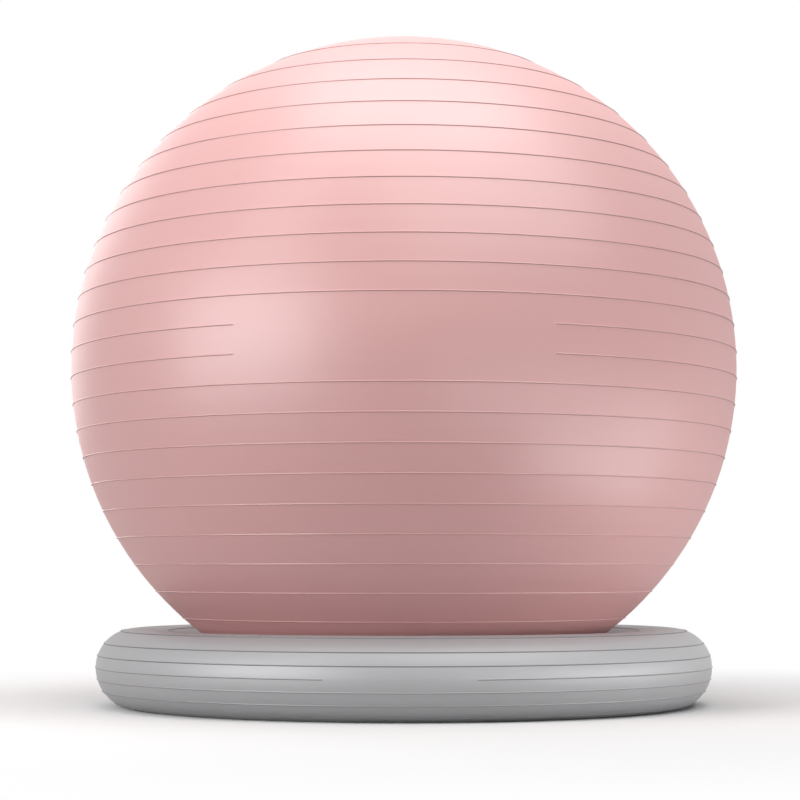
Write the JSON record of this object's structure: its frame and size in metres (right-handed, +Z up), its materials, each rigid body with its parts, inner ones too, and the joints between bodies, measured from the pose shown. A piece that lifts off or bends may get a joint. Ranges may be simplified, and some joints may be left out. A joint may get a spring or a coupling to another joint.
{
  "type": "balance ball chair",
  "caption": "Backless seat: a pumped-up exercise ball with raised horizontal ribs, resting in a low pumped-up floor ring, with pull-out air plugs.",
  "frame": {"origin": "on the floor, on the upright axis that the ball and the floor ring share", "axes": "+Z up along the shared axis of ball and ring; -Y towards the front, where the middle ribs stop at a bare window; +X to the right as seen from the front; both valves face +Y"},
  "size_m": [0.6508, 0.6501, 0.6526],
  "materials": {
    "ball_vinyl": "satin pink soft PVC, rotation moulded, with fine raised ribs",
    "ring_vinyl": "satin silver-grey soft PVC, moulded, with fine raised ribs",
    "plug_plastic": "off-white moulded polyethylene"
  },
  "bodies": {
    "ring": {"ring_bladder": "ring_vinyl", "ring_valve_seat": "ring_vinyl"},
    "ball": {"ball_bladder": "ball_vinyl", "ball_valve_seat": "ball_vinyl"},
    "ball_plug": {"ball_plug": "plug_plastic"},
    "ring_plug": {"ring_plug": "plug_plastic"}
  },
  "joints": [
    {"name": "ball_lift", "type": "slide", "parent": "ring", "child": "ball", "axis": [0, 0, 1], "range_m": [0, 0.15]},
    {"name": "ball_plug_pull", "type": "slide", "parent": "ball", "child": "ball_plug", "axis": [0, 1, 0], "range_m": [0, 0.02]},
    {"name": "ring_plug_pull", "type": "slide", "parent": "ring", "child": "ring_plug", "axis": [0, 1, 0], "range_m": [0, 0.02]}
  ]
}
